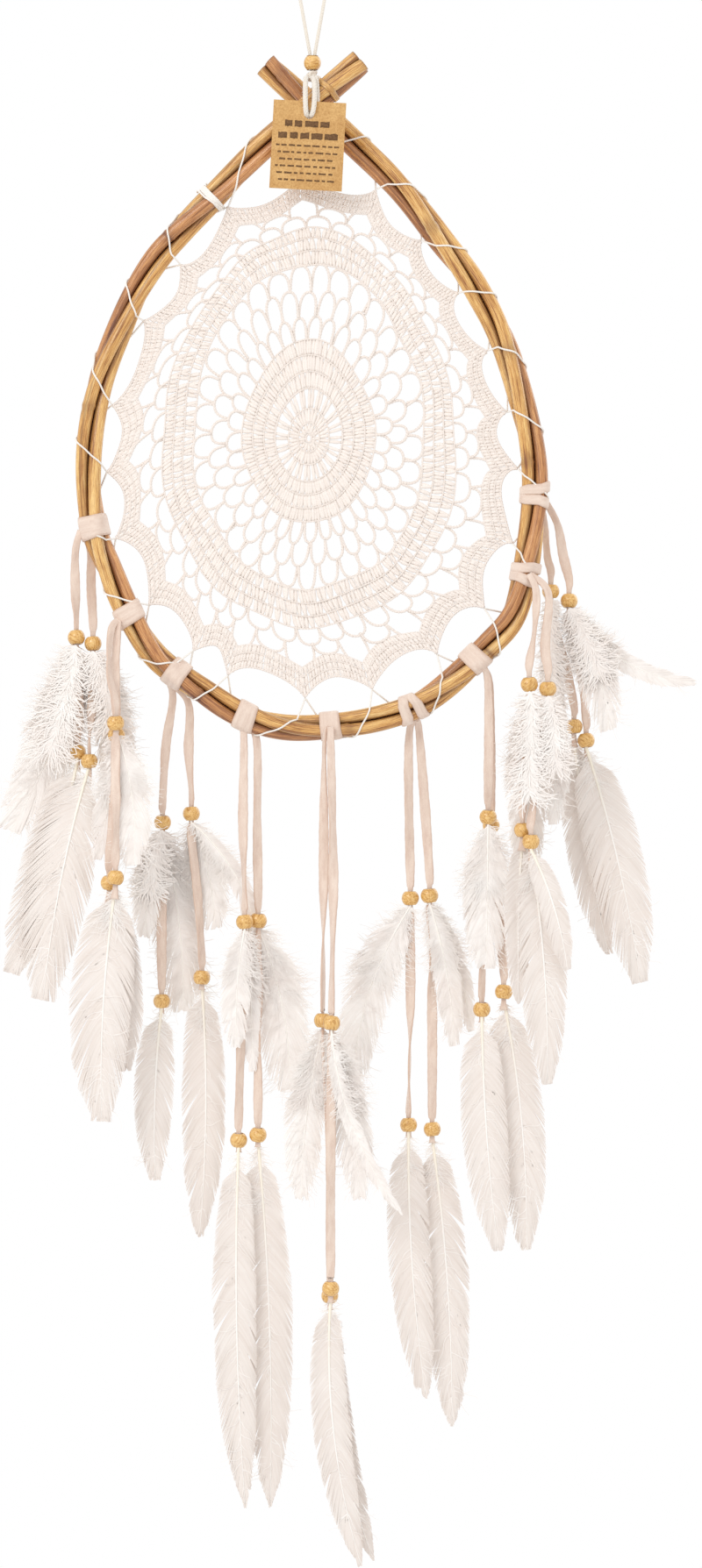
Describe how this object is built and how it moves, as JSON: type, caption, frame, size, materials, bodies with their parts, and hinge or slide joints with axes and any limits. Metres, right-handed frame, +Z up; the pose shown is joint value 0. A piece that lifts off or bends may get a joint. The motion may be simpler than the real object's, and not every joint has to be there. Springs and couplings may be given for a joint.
{
  "type": "dream catcher",
  "caption": "Teardrop dream catcher for a wall: twisted cane hoop, crocheted web laced inside it, suede laces with wooden beads and feathers, hanging cord and card tag.",
  "frame": {"origin": "inside of the top of the hanging loop, where it rests on its nail", "axes": "seen from the front, +X to the right, +Y away from the viewer towards the wall, +Z up"},
  "size_m": [0.3942, 0.0536, 0.9224],
  "materials": {
    "cane": "varnished rattan cane, satin",
    "split_cane": "split cane strip, satin",
    "web_cotton": "crocheted cotton, matt",
    "lacing_thread": "cotton thread, matt",
    "cord_cotton": "twisted cotton cord, matt",
    "suede": "suede lace, matt",
    "bead_wood": "polished wooden bead, satin",
    "feather": "feather, matt with a faint sheen",
    "tag_card": "brown kraft card, matt"
  },
  "bodies": {
    "hanger": {"hanging_loop": "cord_cotton"},
    "hanger_bead": {"loop_bead": "bead_wood", "loop_knot": "cord_cotton"},
    "hoop": {"cane_a": "cane", "cane_b": "cane", "cane_c": "cane", "crossing_lashing": "cord_cotton", "crossing_binding": "split_cane", "web": "web_cotton", "lacing_thread": "lacing_thread", "thread_wrap": "lacing_thread", "lace_hitches": "suede"},
    "tag_cord": {"tag_cord": "cord_cotton"},
    "hang_tag": {"hang_tag": "tag_card"},
    "streamer_1": {"lace_1": "suede", "beads_1": "bead_wood", "feathers_upper_1": "feather", "feathers_lower_1": "feather"},
    "streamer_2": {"lace_2": "suede", "beads_2": "bead_wood", "feathers_upper_2": "feather", "feathers_lower_2": "feather"},
    "streamer_3": {"lace_3": "suede", "beads_3": "bead_wood", "feathers_upper_3": "feather", "feathers_lower_3": "feather"},
    "streamer_4": {"lace_4": "suede", "beads_4": "bead_wood", "feathers_upper_4": "feather", "feathers_lower_4": "feather"},
    "streamer_5": {"lace_5": "suede", "beads_5": "bead_wood", "feathers_upper_5": "feather", "feathers_lower_5": "feather"},
    "streamer_6": {"lace_6": "suede", "beads_6": "bead_wood", "feathers_upper_6": "feather", "feathers_lower_6": "feather"},
    "streamer_7": {"lace_7": "suede", "beads_7": "bead_wood", "feathers_upper_7": "feather", "feathers_lower_7": "feather"},
    "streamer_8": {"lace_8": "suede", "beads_8": "bead_wood", "feathers_upper_8": "feather", "feathers_lower_8": "feather"},
    "streamer_9": {"lace_9": "suede", "beads_9": "bead_wood", "feathers_upper_9": "feather", "feathers_lower_9": "feather"}
  },
  "joints": [
    {"name": "hoop_twist", "type": "hinge", "parent": "hanger", "child": "hanger_bead", "pos_m": [0, 0, -0.0659], "axis": [0, 0, 1], "range_deg": [-90, 90]},
    {"name": "hoop_swing", "type": "hinge", "parent": "hanger_bead", "child": "hoop", "pos_m": [0, 0, -0.0734], "axis": [0, 1, 0], "range_deg": [-15, 15]},
    {"name": "tag_lift", "type": "hinge", "parent": "hoop", "child": "tag_cord", "pos_m": [0, -0.0039, -0.0754], "axis": [-1, 0, 0], "range_deg": [0, 50]},
    {"name": "tag_swing", "type": "hinge", "parent": "tag_cord", "child": "hang_tag", "pos_m": [-0.0015, -0.0206, -0.0985], "axis": [0, 1, 0], "range_deg": [-20, 20]},
    {"name": "streamer_1_swing", "type": "hinge", "parent": "hoop", "child": "streamer_1", "pos_m": [-0.134, 0, -0.342], "axis": [0, 1, 0], "range_deg": [-5, 12]},
    {"name": "streamer_2_swing", "type": "hinge", "parent": "hoop", "child": "streamer_2", "pos_m": [-0.112, 0, -0.389], "axis": [0, 1, 0], "range_deg": [-10, 10]},
    {"name": "streamer_3_swing", "type": "hinge", "parent": "hoop", "child": "streamer_3", "pos_m": [-0.075, 0, -0.428], "axis": [0, 1, 0], "range_deg": [-10, 10]},
    {"name": "streamer_4_swing", "type": "hinge", "parent": "hoop", "child": "streamer_4", "pos_m": [-0.0345, 0, -0.4495], "axis": [0, 1, 0], "range_deg": [-10, 10]},
    {"name": "streamer_5_swing", "type": "hinge", "parent": "hoop", "child": "streamer_5", "pos_m": [0.01, 0, -0.451], "axis": [0, 1, 0], "range_deg": [-10, 10]},
    {"name": "streamer_6_swing", "type": "hinge", "parent": "hoop", "child": "streamer_6", "pos_m": [0.06, 0, -0.445], "axis": [0, 1, 0], "range_deg": [-10, 10]},
    {"name": "streamer_7_swing", "type": "hinge", "parent": "hoop", "child": "streamer_7", "pos_m": [0.102, 0, -0.418], "axis": [0, 1, 0], "range_deg": [-10, 10]},
    {"name": "streamer_8_swing", "type": "hinge", "parent": "hoop", "child": "streamer_8", "pos_m": [0.128, 0, -0.366], "axis": [0, 1, 0], "range_deg": [-10, 10]},
    {"name": "streamer_9_swing", "type": "hinge", "parent": "hoop", "child": "streamer_9", "pos_m": [0.141, 0, -0.327], "axis": [0, 1, 0], "range_deg": [-12, 5]}
  ]
}
